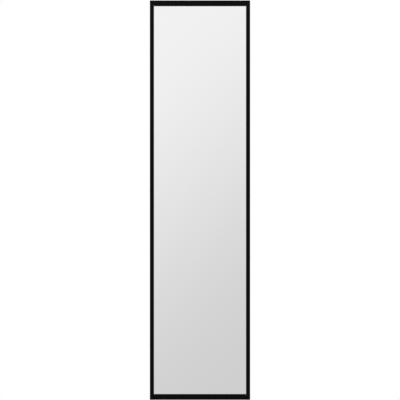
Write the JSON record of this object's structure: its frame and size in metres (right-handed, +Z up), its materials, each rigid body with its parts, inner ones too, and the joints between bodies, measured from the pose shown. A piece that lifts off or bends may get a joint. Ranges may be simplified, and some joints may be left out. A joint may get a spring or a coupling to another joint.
{
  "type": "pull out closet mirror",
  "caption": "Tall narrow framed mirror that pulls out of a closet on two telescopic slides and swivels on an upright post.",
  "frame": {"origin": "Middle of the back face of the mounting strip, where it lies on the closet side panel.", "axes": "+Z is up, +X is the way the mirror pulls out of the closet, and the stored mirror faces -Y."},
  "size_m": [0.306, 0.0585, 1.219],
  "materials": {
    "black_frame": "matte",
    "mirror_glass": "polished",
    "backing_board": "matte",
    "black_steel": "matte",
    "zinc_steel": "satin",
    "bright_steel": "polished",
    "black_screw": "satin",
    "cast_alloy": "matte",
    "black_nylon": "matte",
    "white_nylon": "satin",
    "black_rubber": "matte",
    "magnet_nickel": "polished"
  },
  "bodies": {
    "closet_side": {"mounting_strip": "zinc_steel", "outer_member_upper": "zinc_steel", "outer_member_lower": "zinc_steel", "slide_buffer_upper": "black_rubber", "slide_buffer_lower": "black_rubber"},
    "outer_cages": {"outer_ball_cage_upper": "bright_steel", "outer_ball_cage_lower": "bright_steel"},
    "middle_members": {"middle_member_upper": "zinc_steel", "middle_member_lower": "zinc_steel"},
    "inner_cages": {"inner_ball_cage_upper": "bright_steel", "inner_ball_cage_lower": "bright_steel"},
    "carriage": {"inner_member_upper": "zinc_steel", "inner_member_lower": "zinc_steel", "pivot_bracket_upper": "black_steel", "pivot_bracket_lower": "black_steel", "bracket_rivet_upper_1": "zinc_steel", "bracket_rivet_upper_2": "zinc_steel", "bracket_rivet_lower_1": "zinc_steel", "bracket_rivet_lower_2": "zinc_steel", "pivot_post": "bright_steel", "post_bolt_upper": "black_screw", "post_bolt_lower": "black_screw", "swivel_stop_pin": "black_screw", "thrust_washer": "bright_steel", "post_collar": "cast_alloy", "collar_grub_screw": "black_screw", "catch_plate": "black_steel", "catch_rivet": "zinc_steel", "catch_holder": "black_nylon", "catch_magnet": "magnet_nickel"},
    "mirror_panel": {"mirror_glass": "mirror_glass", "backing_board": "backing_board", "setting_block_front": "black_rubber", "setting_block_rear": "black_rubber", "stile_front": "black_frame", "stile_rear": "black_frame", "rail_top": "black_frame", "rail_bottom": "black_frame", "stile_cap_front_top": "black_nylon", "stile_cap_front_bottom": "black_nylon", "stile_cap_rear_top": "black_nylon", "stile_cap_rear_bottom": "black_nylon", "corner_screw_front_top": "black_screw", "corner_screw_front_bottom": "black_screw", "corner_screw_rear_top": "black_screw", "corner_screw_rear_bottom": "black_screw", "cross_strap_upper": "black_steel", "cross_strap_lower": "black_steel", "strap_screw_upper_front": "black_screw", "strap_screw_upper_rear": "black_screw", "strap_screw_lower_front": "black_screw", "strap_screw_lower_rear": "black_screw", "hinge_block_upper": "cast_alloy", "hinge_block_lower": "cast_alloy", "block_screw_upper_1": "black_screw", "block_screw_upper_2": "black_screw", "block_screw_lower_1": "black_screw", "block_screw_lower_2": "black_screw", "pivot_bush_upper": "white_nylon", "pivot_bush_lower": "white_nylon"}
  },
  "joints": [
    {"name": "slide_out", "type": "slide", "parent": "closet_side", "child": "carriage", "axis": [1, 0, 0], "range_m": [0, 0.3]},
    {"name": "middle_travel", "type": "slide", "parent": "closet_side", "child": "middle_members", "axis": [1, 0, 0], "range_m": [0, 0.15]},
    {"name": "outer_cage_travel", "type": "slide", "parent": "closet_side", "child": "outer_cages", "axis": [1, 0, 0], "range_m": [0, 0.075]},
    {"name": "inner_cage_travel", "type": "slide", "parent": "closet_side", "child": "inner_cages", "axis": [1, 0, 0], "range_m": [0, 0.225]},
    {"name": "mirror_swivel", "type": "hinge", "parent": "carriage", "child": "mirror_panel", "pos_m": [0.138, -0.027, 0], "axis": [0, 0, 1], "range_deg": [0, 90]}
  ],
  "couplings": [
    {"joint": "middle_travel", "follows": "slide_out", "ratio": 0.5},
    {"joint": "outer_cage_travel", "follows": "slide_out", "ratio": 0.25},
    {"joint": "inner_cage_travel", "follows": "slide_out", "ratio": 0.75}
  ]
}
